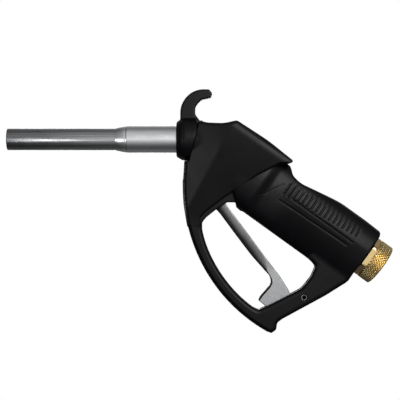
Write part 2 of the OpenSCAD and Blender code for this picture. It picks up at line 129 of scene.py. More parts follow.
def soft_box(name, place, aim, size, power):
    """A square soft light of this size and power at place, pointing at aim."""
    data = bpy.data.lights.new(name, "AREA")
    data.size = size
    data.energy = power
    lamp = bpy.data.objects.new(name, data)
    lamp.location = place
    turn = np.array(aim, float) - np.array(place, float)
    turn /= np.linalg.norm(turn)
    lamp.rotation_euler = (math.acos(-turn[2]), 0, math.atan2(turn[1], turn[0]) - math.pi / 2)
    lamp.visible_camera = False
    bpy.context.collection.objects.link(lamp)


soft_box("left_box", (-0.31, -0.50, -0.11), (0.022, -0.022, -0.035), 0.16, 0.3)
soft_box("right_box", (0.26, -0.56, 0.17), (0.11, -0.02, -0.03), 0.34, 1.7)
soft_box("back_box", (-0.10, 0.80, 0.05), (0.02, 0.02, -0.06), 0.45, 1.6)

FLOOR_HEIGHT = -0.34
FLOOR_RADIUS = 0.45
floor_mesh = bpy.data.meshes.new("floor")
disc = bmesh.new()
bmesh.ops.create_circle(disc, cap_ends=True, radius=FLOOR_RADIUS, segments=128)
disc.to_mesh(floor_mesh)
disc.free()
floor = bpy.data.objects.new("floor", floor_mesh)
floor.location = (VIEW_CENTRE[0], 0, FLOOR_HEIGHT)
bpy.context.collection.objects.link(floor)
pale = bpy.data.materials.new("pale_paper")
pale.use_nodes = True
paper_skin = pale.node_tree.nodes["Principled BSDF"]
paper_skin.inputs["Base Color"].default_value = (0.86, 0.86, 0.85, 1)
paper_skin.inputs["Roughness"].default_value = 0.9

# clear from below, so that it hides nothing from a low camera
add = node_adder(pale.node_tree)
one_sided = add("ShaderNodeMixShader", {0: add("ShaderNodeNewGeometry").outputs["Backfacing"],
                                        1: paper_skin.outputs[0],
                                        2: add("ShaderNodeBsdfTransparent").outputs[0]})
pale.node_tree.links.new(one_sided.outputs[0],
                         pale.node_tree.nodes["Material Output"].inputs["Surface"])
floor_mesh.materials.append(pale)
floor.visible_diffuse = False
floor.visible_glossy = False


# ---- Spout tube ---------------------------------------------------------------------------
# A length of extruded aluminium tube. The die leaves fine lengthwise streaks and a satin skin,
# and handling leaves faint dull patches. It is pressed into the sleeve.


def new_group(name, takes, gives):
    """An empty shader node group with these named inputs and outputs."""
    group = bpy.data.node_groups.new(name, "ShaderNodeTree")
    for label, kind, value in takes:
        socket = group.interface.new_socket(label, in_out="INPUT", socket_type="NodeSocket" + kind)
        if kind != "Vector":
            socket.default_value = value
    for label, kind in gives:
        group.interface.new_socket(label, in_out="OUTPUT", socket_type="NodeSocket" + kind)
    return group, node_adder(group)


def finish_group(group, gives):
    """Wires these named results to the group's outputs."""
    out = group.nodes.new("NodeGroupOutput")
    for label, socket in gives.items():
        group.links.new(socket, out.inputs[label])


# lines drawn along local X, as brushing, drawing or turning leaves them
group, add = new_group("drawn_streaks",
                       [("Place", "Vector", None), ("Length", "Float", 4.0),
                        ("Fineness", "Float", 900.0)],
                       [("Streaks", "Float"), ("Cloud", "Float")])
given = add("NodeGroupInput")
spread = add("ShaderNodeCombineXYZ", {"X": given.outputs["Length"],
                                      "Y": given.outputs["Fineness"],
                                      "Z": given.outputs["Fineness"]})
along = add("ShaderNodeVectorMath", {0: given.outputs["Place"], 1: spread.outputs[0]},
            operation="MULTIPLY")
lines = add("ShaderNodeTexNoise", {"Vector": along.outputs[0], "Scale": 1.0, "Detail": 4.0,
                                   "Roughness": 0.65})
cloud = add("ShaderNodeTexNoise", {"Vector": given.outputs["Place"], "Scale": 60.0, "Detail": 3.0})
finish_group(group, {"Streaks": lines.outputs[0], "Cloud": cloud.outputs[0]})
drawn_streaks = group


def new_material(name):
    """An empty material with its shader, ready for nodes: (material, add, shader)."""
    made = bpy.data.materials.new(name)
    made.use_nodes = True
    return made, node_adder(made.node_tree), made.node_tree.nodes["Principled BSDF"]


def place_group(add, group, inputs):
    """Puts a node group in a material with its own values."""
    return add("ShaderNodeGroup", inputs, node_tree=group)


def spread_between(add, mask, low, high):
    """A value that runs from low to high as mask goes from 0.3 to 0.7."""
    return add("ShaderNodeMapRange", {"Value": mask, "From Min": 0.3, "From Max": 0.7,
                                      "To Min": low, "To Max": high}).outputs[0]


def metal(name, colour, dark, rough, fineness, bump, length):
    """Bare metal with drawn or turned lines, a little colour drift and uneven gloss."""
    made, add, shader = new_material(name)
    place = add("ShaderNodeTexCoord").outputs["Object"]
    marks = place_group(add, drawn_streaks, {"Place": place, "Length": length,
                                             "Fineness": fineness})
    tint = add("ShaderNodeMix", {0: spread_between(add, marks.outputs["Streaks"], 0, 1),
                                 6: dark + (1,), 7: colour + (1,)}, data_type="RGBA")
    shader_in = shader.inputs
    made.node_tree.links.new(tint.outputs[2], shader_in["Base Color"])
    gloss = spread_between(add, marks.outputs["Cloud"], rough[0], rough[1])
    made.node_tree.links.new(gloss, shader_in["Roughness"])
    raised = add("ShaderNodeBump", {"Height": marks.outputs["Streaks"], "Strength": bump,
                                    "Distance": 0.0002})
    made.node_tree.links.new(raised.outputs[0], shader_in["Normal"])
    shader_in["Metallic"].default_value = 1.0
    return made


def dress(node, material):
    """Gives a CAD node one material all over."""
    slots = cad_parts[node].data.materials
    slots.clear()
    slots.append(material)


extruded = metal("extruded_aluminium", (0.58, 0.59, 0.60), (0.24, 0.25, 0.26), (0.20, 0.32),
                 620.0, 0.3, length=12.0)

SHARP_FROM = math.radians(35)


def lathe(name, rings, sides, material, centre=(0, 0, 0), axis=(-1, 0, 0), shape=None):
    """A turned piece: rings of (distance along the axis, radius) in mm, going once round.

    shape(along, turn, r), where it is given, returns the radius all round each ring.
    """
    along, r = np.array(rings, float).T
    turn = np.arange(sides) * 2 * math.pi / sides
    r = np.repeat(r[:, None], sides, axis=1)
    if shape:
        r = shape(along[:, None], turn[None, :], r)
    axis = np.array(axis, float)
    up = np.array((0, 1, 0), float)
    out = np.cross(axis, up)
    place = (along[:, None, None] * axis + r[:, :, None] * (np.cos(turn)[None, :, None] * up
             + np.sin(turn)[None, :, None] * out) + np.array(centre, float))
    count = len(rings)
    ring, step = np.meshgrid(np.arange(count), np.arange(sides), indexing="ij")
    following, beside = (ring + 1) % count, (step + 1) % sides
    quads = np.stack((ring * sides + step, ring * sides + beside, following * sides + beside,
                      following * sides + step), axis=-1).reshape(-1, 4)
    mesh = bpy.data.meshes.new(name)
    mesh.from_pydata((place.reshape(-1, 3) / 1000).tolist(), [], quads.tolist())
    mesh.update()
    turned = bmesh.new()
    turned.from_mesh(mesh)
    bmesh.ops.recalc_face_normals(turned, faces=turned.faces)
    turned.to_mesh(mesh)
    turned.free()
    mesh.polygons.foreach_set("use_smooth", np.ones(len(mesh.polygons), bool))
    mesh.set_sharp_from_angle(angle=SHARP_FROM)
    mesh.materials.append(material)
    made = bpy.data.objects.new(name, mesh)
    bpy.context.collection.objects.link(made)
    return made


TUBE_R = 10.5
TUBE_BORE_R = 8.5
TUBE_SEAT_R = 10.3
TUBE_REACH = 165.0
SPOUT_SIDES = 128
spout_tube = lathe("spout_tube_drawn", [
    (-12, TUBE_BORE_R), (-12, TUBE_SEAT_R), (60.6, TUBE_SEAT_R), (60.6, TUBE_R),
    (164.3, TUBE_R), (164.8, 10.3), (TUBE_REACH, 10.0), (TUBE_REACH, 9.0), (164.7, 8.6),
    (164.3, TUBE_BORE_R)], SPOUT_SIDES, extruded)
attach(spout_tube, "body")
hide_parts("spout_tube")


# ---- Spout sleeve -------------------------------------------------------------------------
# A thicker aluminium sleeve, turned bright on a lathe, that seats in the collar. Its front end
# is turned down in a short taper to the tube.

turned_bright = metal("turned_aluminium", (0.86, 0.87, 0.88), (0.76, 0.77, 0.79), (0.20, 0.30),
                      420.0, 0.15, length=60.0)
SLEEVE_R = 13
SLEEVE_SEAT_R = 12.7
SLEEVE_BORE_R = 10.35
RING_GROOVE_R = 11.5
taper = [(49.4 + 10.6 * t, 12.7 - 1.9 * t ** 1.6) for t in np.linspace(0, 1, 12)]
spout_sleeve = lathe("spout_sleeve_turned", [
    (-17.5, SLEEVE_BORE_R), (-17.5, SLEEVE_SEAT_R), (-14.1, SLEEVE_SEAT_R),
    (-14.1, RING_GROOVE_R), (-11.9, RING_GROOVE_R), (-11.9, SLEEVE_SEAT_R),
    (1.3, SLEEVE_SEAT_R), (1.3, SLEEVE_R), (49, SLEEVE_R)] + taper + [
    (60, 10.55), (59.8, SLEEVE_BORE_R)], SPOUT_SIDES, turned_bright)
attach(spout_sleeve, "body")
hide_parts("spout_sleeve")


# ---- Spout seal ---------------------------------------------------------------------------
# A moulded ring of black nitrile rubber, pressed into the groove near the sleeve's rear end.

black_rubber, add, shader = new_material("nitrile_rubber")
speck = add("ShaderNodeTexNoise", {"Vector": add("ShaderNodeTexCoord").outputs["Object"],
                                   "Scale": 1800.0, "Detail": 2.0})
shader.inputs["Base Color"].default_value = (0.012, 0.012, 0.012, 1)
black_rubber.node_tree.links.new(spread_between(add, speck.outputs[0], 0.5, 0.65),
                                 shader.inputs["Roughness"])
pitted = add("ShaderNodeBump", {"Height": speck.outputs[0], "Strength": 0.15, "Distance": 0.0001})
black_rubber.node_tree.links.new(pitted.outputs[0], shader.inputs["Normal"])
dress("spout_o_ring", black_rubber)


# ---- Hook collar --------------------------------------------------------------------------
# A black moulded ring round the root of the spout with the hanging hook standing on it. It is
# one moulding with rounded edges, held by a set screw from below, butted on a slanted seam.


def corners(points):
    """An outline from [x, z] or [x, z, radius] corners, in millimetres, with the radii put in."""
    outline = []
    count = len(points)
    for i, point in enumerate(points):
        b = np.array(point[:2], float)
        if len(point) < 3:
            outline.append(b)
            continue
        u = np.array(points[i - 1][:2]) - b
        v = np.array(points[(i + 1) % count][:2]) - b
        u, v = u / np.linalg.norm(u), v / np.linalg.norm(v)
        half = math.acos(float(u @ v)) / 2
        middle = b + (u + v) / np.linalg.norm(u + v) * point[2] / math.sin(half)
        p = b + u * point[2] / math.tan(half) - middle
        q = b + v * point[2] / math.tan(half) - middle
        start = math.atan2(p[1], p[0])
        turn = (math.atan2(q[1], q[0]) - start + 3 * math.pi) % (2 * math.pi) - math.pi
        steps = max(3, int(abs(turn) * math.sqrt(point[2]) * 3))
        for k in range(steps + 1):
            a = start + turn * k / steps
            outline.append(middle + point[2] * np.array((math.cos(a), math.sin(a))))
    return np.array(outline)


def curved(c, inset=0.0, steps=28):
    """Points on a cubic curve, moved sideways by inset, in millimetres."""
    t = np.linspace(0, 1, steps + 1)[:, None]
    c = np.array(c, float)
    place = ((1 - t) ** 3 * c[0] + 3 * (1 - t) ** 2 * t * c[1] + 3 * (1 - t) * t ** 2 * c[2]
             + t ** 3 * c[3])
    slope = ((1 - t) ** 2 * (c[1] - c[0]) + 2 * (1 - t) * t * (c[2] - c[1])
             + t ** 2 * (c[3] - c[2]))
    slope /= np.linalg.norm(slope, axis=1)[:, None]
    return place + inset * np.stack((-slope[:, 1], slope[:, 0]), axis=1)


def from_outline(outline, x, z):
    """Distance to a closed outline at each place, negative inside."""
    near = np.full(x.shape, 1e9, np.float32)
    inside = np.zeros(x.shape, bool)
    for a, b in zip(outline, np.roll(outline, -1, axis=0)):
        run = b - a
        length = float(run @ run)
        if length < 1e-12:
            continue
        t = np.clip(((x - a[0]) * run[0] + (z - a[1]) * run[1]) / length, 0, 1)
        near = np.minimum(near, (x - a[0] - t * run[0]) ** 2 + (z - a[1] - t * run[1]) ** 2)
        if a[1] != b[1]:
            spans = (a[1] > z) != (b[1] > z)
            inside ^= spans & (x < run[0] * (z - a[1]) / run[1] + a[0])
    return np.where(inside, -1, 1).astype(np.float32) * np.sqrt(near)


def thick(flat, half_width, y, edge=0.0):
    """A flat outline's distance made a plate about the mid-plane, with rounded edges."""
    a = flat[:, None, :] + edge
    b = np.abs(y)[None, :, None] - half_width + edge
    return np.minimum(np.maximum(a, b), 0) + np.hypot(np.maximum(a, 0), np.maximum(b, 0)) - edge


def join(a, b, blend):
    """Two shapes as one, with a fillet of about this radius between them."""
    h = np.clip(0.5 + 0.5 * (b - a) / blend, 0, 1)
    return b + (a - b) * h - blend * h * (1 - h)


def cut(a, b, blend=0.3):
    """Shape a where it is also outside shape b, with softened edges."""
    return -join(-a, b, blend)


def both(a, b, blend=0.3):
    """Shape a where it is also inside shape b, with softened edges."""
    return -join(-a, -b, blend)


class Block:
    """A block of space, in millimetres, sampled at even steps to carve a moulded shape in.

    x, y and z are its steps, flat_x and flat_z a grid over its side view, and x3, y3 and z3 the
    same steps turned so that they combine into distances all through it.
    """

    def __init__(self, low, high, step):
        self.low, self.step = np.array(low, float), step
        self.x, self.y, self.z = (np.arange(a, b + step, step, dtype=np.float32)
                                  for a, b in zip(low, high))
        self.flat_x, self.flat_z = np.meshgrid(self.x, self.z, indexing="ij")
        self.x3, self.y3, self.z3 = (self.x[:, None, None], self.y[None, :, None],
                                     self.z[None, None, :])

    def outline(self, points):
        """Distance to a closed outline, over the block's side view."""
        return from_outline(points, self.flat_x, self.flat_z)

    def rod(self, start, end, r):
        """A round rod from start to end, as a distance."""
        start, end = np.array(start, float), np.array(end, float)
        run = end - start
        length = np.linalg.norm(run)
        run /= length
        dx, dy, dz = self.x3 - start[0], self.y3 - start[1], self.z3 - start[2]
        along = dx * run[0] + dy * run[1] + dz * run[2]
        away = np.sqrt(np.maximum(dx * dx + dy * dy + dz * dz - along * along, 0)) - r
        return np.maximum(away, np.abs(along - length / 2) - length / 2)

    def pin(self, place, reach, r):
        """A rod straight across at (x, z), reaching this far to each side of the mid-plane."""
        return self.rod((place[0], -reach, place[1]), (place[0], reach, place[1]), r)

    def skin(self, name, field, material):
        """The surface where field is zero, as a mesh object of quads."""
        f = field.astype(np.float32)
        shape = f.shape
        cells, crossings, faces = [], [], []
        for axis in range(3):
            lower = [slice(None)] * 3
            upper = [slice(None)] * 3
            lower[axis], upper[axis] = slice(0, -1), slice(1, None)
            a, b = f[tuple(lower)], f[tuple(upper)]
            at = np.argwhere((a < 0) != (b < 0))
            fa, fb = a[tuple(at.T)], b[tuple(at.T)]
            place = at.astype(np.float64)
            place[:, axis] += fa / (fa - fb)
            side, other = (axis + 1) % 3, (axis + 2) % 3
            ring = []
            for step_side, step_other in ((0, 0), (1, 0), (1, 1), (0, 1)):
                cell = at.copy()
                cell[:, side] -= step_side
                cell[:, other] -= step_other
                key = (cell[:, 0] * shape[1] + cell[:, 1]) * shape[2] + cell[:, 2]
                ring.append(key)
                cells.append(key)
                crossings.append(place)
            ring = np.stack(ring, axis=1)
            ring[fa < 0] = ring[fa < 0][:, ::-1]
            faces.append(ring[:, ::-1])
        keys, index = np.unique(np.concatenate(cells), return_inverse=True)
        where = np.concatenate(crossings)
        count = np.bincount(index)
        verts = np.stack([np.bincount(index, where[:, k]) / count for k in range(3)], axis=1)
        quads = np.searchsorted(keys, np.concatenate(faces))
        verts = (self.low + verts * self.step) / 1000
        mesh = bpy.data.meshes.new(name)
        mesh.vertices.add(len(verts))
        mesh.vertices.foreach_set("co", verts.astype(np.float32).ravel())
        mesh.loops.add(quads.size)
        mesh.loops.foreach_set("vertex_index", quads.astype(np.int32).ravel())
        mesh.polygons.add(len(quads))
        mesh.polygons.foreach_set("loop_start", np.arange(0, quads.size, 4, dtype=np.int32))
        mesh.update(calc_edges=True)
        mesh.validate()
        mesh.polygons.foreach_set("use_smooth", np.ones(len(mesh.polygons), bool))
        mesh.materials.append(material)
        made = bpy.data.objects.new(name, mesh)
        bpy.context.collection.objects.link(made)
        return made


# fine spark-eroded grain, slow colour drift, and edges rubbed a little paler
group, add = new_group("moulded_grain", [("Place", "Vector", None), ("Grain", "Float", 2200.0)],
                       [("Height", "Float"), ("Drift", "Float"), ("Rub", "Float")])
given = add("NodeGroupInput")
grain = add("ShaderNodeTexNoise", {"Vector": given.outputs["Place"],
                                   "Scale": given.outputs["Grain"], "Detail": 2.0})
drift = add("ShaderNodeTexNoise", {"Vector": given.outputs["Place"], "Scale": 38.0, "Detail": 4.0,
                                   "Roughness": 0.6})
edge = add("ShaderNodeMapRange", {"Value": add("ShaderNodeNewGeometry").outputs["Pointiness"],
                                  "From Min": 0.51, "From Max": 0.60})
rubbed = add("ShaderNodeMath", {0: edge.outputs[0], 1: drift.outputs[0]}, operation="MULTIPLY")
finish_group(group, {"Height": grain.outputs[0], "Drift": drift.outputs[0],
                     "Rub": rubbed.outputs[0]})
moulded_grain = group

black_nylon, add, shader = new_material("black_nylon")
grain = place_group(add, moulded_grain,
                    {"Place": add("ShaderNodeTexCoord").outputs["Object"], "Grain": 2400.0})
tone = add("ShaderNodeMix", {0: spread_between(add, grain.outputs["Drift"], 0, 1),
                             6: (0.0022, 0.0022, 0.0030, 1), 7: (0.0040, 0.0040, 0.0052, 1)},
           data_type="RGBA")
worn = add("ShaderNodeMix", {0: grain.outputs["Rub"], 6: tone.outputs[2],
                             7: (0.009, 0.009, 0.011, 1)}, data_type="RGBA")
links = black_nylon.node_tree.links
links.new(worn.outputs[2], shader.inputs["Base Color"])
links.new(spread_between(add, grain.outputs["Drift"], 0.30, 0.40), shader.inputs["Roughness"])
links.new(add("ShaderNodeBump", {"Height": grain.outputs["Height"], "Strength": 0.22,
                                 "Distance": 0.00008}).outputs[0], shader.inputs["Normal"])
shader.inputs["Specular IOR Level"].default_value = 0.2

COLLAR_FACE = 1.3
COLLAR_R = 20.8
COLLAR_STEP = 0.4
HOOK_HALF_W = 6
SOCKET_R = 16.5
SCREW_HOLE_AT = 8
SCREW_HOLE_R = 2.55
SEAM_AT = 16.7
SEAM_LEAN = math.radians(14.9)
SEAM_TOP = 27
LINE_AT = 5.6
LINE_DEPTH = 0.35


def behind_seam(block):
    """Distance to the slanted plane behind the collar, negative behind it."""
    return -((block.x3 - SEAM_AT) * math.cos(SEAM_LEAN) - block.z3 * math.sin(SEAM_LEAN))


block = Block((-3, -22.5, -22.5), (36, 22.5, 50), COLLAR_STEP)
hook = thick(block.outline(corners([
    [2.4, 12], [2.7, 33.2, 22], [14.4, 48.4, 22], [30.6, 48.2, 2.4], [33.6, 44.2, 2],
    [32.2, 40, 1.5], [22.5, 38, 8], [17.1, 31.5, 8], [17.1, 24, 4], [22, 17.3], [22, 12]])),
    HOOK_HALF_W, block.y, 1.6)

# the ring, coned in front and behind, with a fine line round it
away = np.hypot(block.y3, block.z3)
ring = np.maximum(away - COLLAR_R, -(block.x3 + COLLAR_FACE))
nose = (away - 20.6) * 0.86 - (block.x3 - 4.9) * 0.52
ring = both(ring, nose, 1.5)
lip = (away - 17.5) * 0.75 + (block.x3 - 22) * 0.66
ring = both(ring, lip, 1.0)
ring = ring + LINE_DEPTH * np.clip(1 - np.abs(block.x3 - LINE_AT) / 0.5, 0, 1)

# the hook stands on the ring, which is bored for the sleeve, the neck and the set screw
collar = join(ring, hook, 1.2)
collar = cut(collar, np.where(block.z3 < SEAM_TOP, behind_seam(block), 9), 0.25)
collar = cut(collar, block.rod((-5, 0, 0), (30, 0, 0), SLEEVE_SEAT_R + 0.04), 0.3)
collar = cut(collar, block.rod((1.8, 0, 0), (30, 0, 0), SOCKET_R + 0.05), 0.2)
collar = cut(collar, block.rod((SCREW_HOLE_AT, 0, -30), (SCREW_HOLE_AT, 0, -10),
                               SCREW_HOLE_R), 0.4)
hook_collar = block.skin("hook_collar_moulding", collar, black_nylon)
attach(hook_collar, "body")
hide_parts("hook_collar")


# ---- Moulded housing ----------------------------------------------------------------------
# Two glass-filled nylon half shells that meet on the mid-plane and are screwed from the far
# side. Hood, ribbed grip, guard and web are one moulding each, with a fine eroded grain.

GRIP_ANGLE = math.radians(36)
INLET = (196.65, -122.5)
PIVOT = (35.0, -55.0)
TAIL_R = 131.0
GUARD_HALF_W = 8.5
HOOD_HALF_W = 27.6
FRONT = [[5.2, -40], [3.7, -93.9], [29, -153.5], [86.5, -186.2]]
INNER = [[23.9, -87], [28, -111], [46, -143], [72.7, -162.3]]
HOOD = corners([
    [10, 17], [21.8, 17.1], [29, 15.2, 20], [45, 14.4, 30], [56.6, 17.5, 3], [87.4, -2.2, 120],
    [110.8, -21.4, 1.6], [109.2, -23.4], [98, -23.4, 12], [76.5, -34.5], [45.2, -55.6, 30],
    [26.9, -69.6, 3], [22, -75, 3], [21, -84], [9.4, -84], [6, -62], [5.2, -40], [5.9, -30, 10],
    [6.4, -20.8], [10.6, -20.8]])
LUG = corners([
    [16, -60], [20, -84], [24, -80], [28, -75.4, 2], [36, -69, 6], [47.9, -61.2, 1],
    [56.3, -61.2, 1], [56.5, -65.5, 3], [61, -69.5, 3], [75, -72], [75, -30], [30, -30]])
WEB = corners([
    [170.4, -128.2, 1], [163, -138.4, 12], [142.5, -151.2, 60], [101.2, -173.6, 8],
    [96.2, -177.4, 4], [95.3, -184, 3], [90.6, -187.4, 2.5], [76.5, -180.1], [60, -164],
    [72.6, -162.2], [77.5, -165, 5], [86, -161.4, 30], [119.8, -144.2, 18], [129, -132.5, 12],
    [133.2, -122.8, 3], [126, -114], [140, -100]])
GRIP = corners([
    [18.2, -22, 1], [18.4, 22.5, 4], [19.6, 26.4, 3], [38, 27.5, 40], [66, 27.2, 60],
    [110, 18.5, 25], [120.5, 20.4, 9], [127.5, 27.2, 2], [166, 27], [166, -20], [145, -37.2, 3],
    [60, -36.3, 200], [24, -38.5, 4], [17.5, -31.5, 5]])
STRIP = np.concatenate([curved(FRONT), [[90.6, -187.4], [95, -180], [90, -171]],
                        curved(INNER)[::-1], [[23.5, -70], [6, -40]]])
MOULD_STEP = 0.5
HOOD_TOP = 18.2
HOOD_BACK = 34.2
NECK_R = 18.4
NECK_TOP = 15.6
GRIP_HALF_W = 19.5
GRIP_HALF_H = 31.95
GRIP_MIDDLE = -4.35
GRIP_POWER = 2.38
GRIP_REACH = 165
NECKED_BY = 3.2
RIB_COUNT = 17
RIB_PITCH = 5.0
RIB_START = 38
RIB_FOOT = 8.6
RIB_FOOT_SLOPE = 0.105
RIB_TOP = 19.5
RIB_DEPTH = 0.6
LONG_GROOVE_DEPTH = 0.9
WAVE_DEPTH = 0.22
GUARD_STEP = 0.9


def eased(value, low, high):
    """0 below low, 1 above high, and smooth between."""
    t = np.clip((value - low) / (high - low), 0, 1)
    return t * t * (3 - 2 * t)


def near_line(u, v, start, end):
    """Distance to a straight line between two points, in the plane of u and v."""
    run = np.subtract(end, start)
    t = np.clip(((u - start[0]) * run[0] + (v - start[1]) * run[1]) / float(run @ run), 0, 1)
    return np.hypot(u - start[0] - t * run[0], v - start[1] - t * run[1])


def near_path(u, v, path):
    """Distance to a path of straight stretches, in the plane of u and v."""
    near = np.full(u.shape, 99.0)
    for start, end in zip(path[:-1], path[1:]):
        near = np.minimum(near, near_line(u, v, start, end))
    return near


def plane(block, point, normal):
    """Distance to a plane, positive on the side its normal points to."""
    normal = np.array(normal, float) / np.linalg.norm(normal)
    return ((block.x3 - point[0]) * normal[0] + (block.y3 - point[1]) * normal[1]
            + (block.z3 - point[2]) * normal[2])


def rounded_corner(a, b, r):
    """Two distances met in an outside corner of radius r."""
    a, b = a + r, b + r
    return np.minimum(np.maximum(a, b), 0) + np.hypot(np.maximum(a, 0), np.maximum(b, 0)) - r


block = Block((1, -28, -190), (199, 0.5, 21), MOULD_STEP)
along = ((INLET[0] - block.flat_x) * math.cos(GRIP_ANGLE)
         + (block.flat_z - INLET[1]) * math.sin(GRIP_ANGLE))
across = ((block.flat_x - INLET[0]) * math.sin(GRIP_ANGLE)
          + (block.flat_z - INLET[1]) * math.cos(GRIP_ANGLE))
side = -block.y3

# hood: rounded along its top, with two flat facets a side meeting in a slanted crease
crease_top = np.array((53.5, -28.5, 13.7))
crease_foot = np.array((12, -11.3, -62.7))
panel_corner = np.array((110, -26.5, -21))
facet_corner = np.array((8, -13.2, -20))
crease = crease_top - crease_foot
panel = plane(block, crease_foot, np.cross(panel_corner - crease_foot, crease))
facet = plane(block, crease_foot, np.cross(crease, facet_corner - crease_foot))
hood = rounded_corner(across[:, None, :] - HOOD_BACK, side - HOOD_HALF_W, 12.0)
hood = np.maximum(hood, rounded_corner(block.z3 - HOOD_TOP, side - HOOD_HALF_W - 3, 14.0))
hood = both(hood, both(panel, facet, 0.5), 5.0)
hood = rounded_corner(block.outline(HOOD)[:, None, :], hood, 1.1)

# a round neck that reaches forward into the collar
neck = block.rod((8, 0, 0), (40, 0, 0), NECK_R)
neck = both(neck, np.where(block.x3 > 24, block.z3 - NECK_TOP, -9), 3.0)
body = join(hood, neck, 1.5)

# grip: a squarish oval that narrows to the fingers and a little just behind the hood, cut to
# its side outline
deep = eased(122 - along, 0, 28)
lean = np.clip((4 - across) / 40.3, 0, 1) ** 1.3 * 0.55 * deep
necked = NECKED_BY * (eased(along, 100, 125) - eased(along, 131, 142))
half_w = (GRIP_HALF_W - necked) * (1 - lean)
u = np.abs((across - GRIP_MIDDLE) / GRIP_HALF_H)[:, None, :]
v = side / half_w[:, None, :]
size = np.maximum((u ** GRIP_POWER + np.abs(v) ** GRIP_POWER) ** (1 / GRIP_POWER), 0.05)
slope = np.hypot((u / size) ** (GRIP_POWER - 1) / GRIP_HALF_H,
                 (np.abs(v) / size) ** (GRIP_POWER - 1) / half_w[:, None, :])
oval = (size - 1) / slope
profile = from_outline(GRIP, along, across)
grip = both(np.maximum(oval, -9), profile[:, None, :], 2.5)
grip = np.where((along > GRIP_REACH)[:, None, :], 9, grip)

# crosswise grooves between the ribs, round at their lower ends and fading out at the top
groove = np.full(along.shape, 9.0)
for i in range(RIB_COUNT):
    s = RIB_START + i * RIB_PITCH
    foot = RIB_FOOT - RIB_FOOT_SLOPE * (s - RIB_START)
    groove = np.minimum(groove, near_line(along, across, (s, foot), (s, RIB_TOP)))
fade = eased(20 - across, 0, 9) * eased(-profile, 2, 9)
pressed = RIB_DEPTH * eased(1.25 - groove, 0, 1.1) * fade

# two long grooves below the ribs, and a faint wave line next to the hood
for start, end in (((40, -3.8), (117, -6.7)), ((37.5, 1.5), (106, 0.9))):
    away = near_line(along, across, start, end)
    pressed = np.maximum(pressed, LONG_GROOVE_DEPTH * eased(1.1 - away, 0, 0.9))
away = near_path(block.flat_x, block.flat_z, ((76.7, -53.9), (84.2, -52.3), (102.5, -43.2)))
pressed = np.maximum(pressed, WAVE_DEPTH * eased(1.0 - away, 0, 0.8))
grip = grip + (pressed[:, None, :] * eased(side, 6, 9)).astype(np.float32)
body = join(body, grip, 1.0)

# guard: lug, front strip and web, each a flat plate with soft edges
body = join(body, thick(block.outline(LUG), GUARD_HALF_W, block.y, 1.5), 0.8)
guard = np.minimum(block.outline(WEB), block.outline(STRIP))
pillow = 2.2 * (1 - np.clip(-guard / 4.8, 0, 1)) ** 2.5
guard = thick(guard, GUARD_HALF_W, block.y, 1.2)
guard = np.maximum(guard, side - GUARD_HALF_W + pillow[:, None, :])
body = join(body, guard, 1.6)

# a low step all down the guard's front edge
front_edge = near_path(block.flat_x, block.flat_z,
                       np.concatenate([[[6.4, -21], [5.9, -30]], curved(FRONT)]))
stepped = eased(3.1 - front_edge, 0, 0.7) * eased(-21 - block.flat_z, 0, 2)
body = body + (GUARD_STEP * stepped[:, None, :] * eased(side, 3, 5)).astype(np.float32)

# a slanted seam to the collar in front
ahead = np.minimum(behind_seam(block), block.z3 + 21.1)
body = both(body, np.where(block.x3 < 36, ahead, -9), 0.3)


def by_grip(along, across):
    """A point in space from its place along and across the grip."""
    c, s = math.cos(GRIP_ANGLE), math.sin(GRIP_ANGLE)
    return (INLET[0] - along * c + across * s, 0, INLET[1] + along * s + across * c)


def pie(r, start, end):
    """A slice about the lever pivot, with its angles in degrees."""
    turns = np.radians(np.linspace(start, end, 16))
    rim = np.stack((np.cos(turns), np.sin(turns)), axis=1) * r + PIVOT
    return np.concatenate([[PIVOT], rim])


# pockets inside: the valve's casting, with its chamber, cap and stem, lies along the grip
CHAMBER_AT = 158
CHAMBER_R = 16.4
CAP_R = 12.4
STEM_R = 6.0
PASSAGE_R = 14.4
OUTLET_R = 10.4
for pocket in (block.rod(by_grip(CHAMBER_AT, -18), by_grip(CHAMBER_AT, 28.2), CHAMBER_R),
               block.rod(by_grip(CHAMBER_AT, -24.4), by_grip(CHAMBER_AT, -17), CAP_R),
               block.rod(by_grip(CHAMBER_AT, -32), by_grip(CHAMBER_AT, -20), STEM_R),
               block.rod(by_grip(8, 0), by_grip(CHAMBER_AT, 0), PASSAGE_R),
               block.rod((20.4, 0, 0), (62.8, 0, -42.4), OUTLET_R),
               block.rod((0, 0, 0), (20.4, 0, 0), SOCKET_R + 0.4),
               block.rod((10, 0, 0), (28.4, 0, 0), 12.4)):
    body = cut(body, pocket, 0.3)

# and the lever's boss, pin and swing, with a narrow slot for its tail in the guard
BOSS_WELL_R = 12.2
PIN_R = 3.05
WELL_HALF_W = 6.3
TAIL_SLOT_HALF_W = 3.4
turns = np.radians(np.linspace(-67.5, -35, 14))
sweep = np.stack((np.cos(turns), np.sin(turns)), axis=1)
tail_slot = np.concatenate([sweep * (TAIL_R + 1.4), sweep[::-1] * 112]) + PIVOT
swing = np.concatenate([pie(47, -84, -33.5), [(52.8, -61.5)]])
for pocket in (block.pin(PIVOT, WELL_HALF_W, BOSS_WELL_R), block.pin(PIVOT, 12, PIN_R),
               thick(block.outline(pie(19.5, -88, 65)), WELL_HALF_W, block.y),
               thick(block.outline(swing), WELL_HALF_W, block.y),
               thick(block.outline(tail_slot), TAIL_SLOT_HALF_W, block.y)):
    body = cut(body, pocket, 0.3)
body = rounded_corner(body, block.y3 + 0.04 + 0 * body, 0.35)

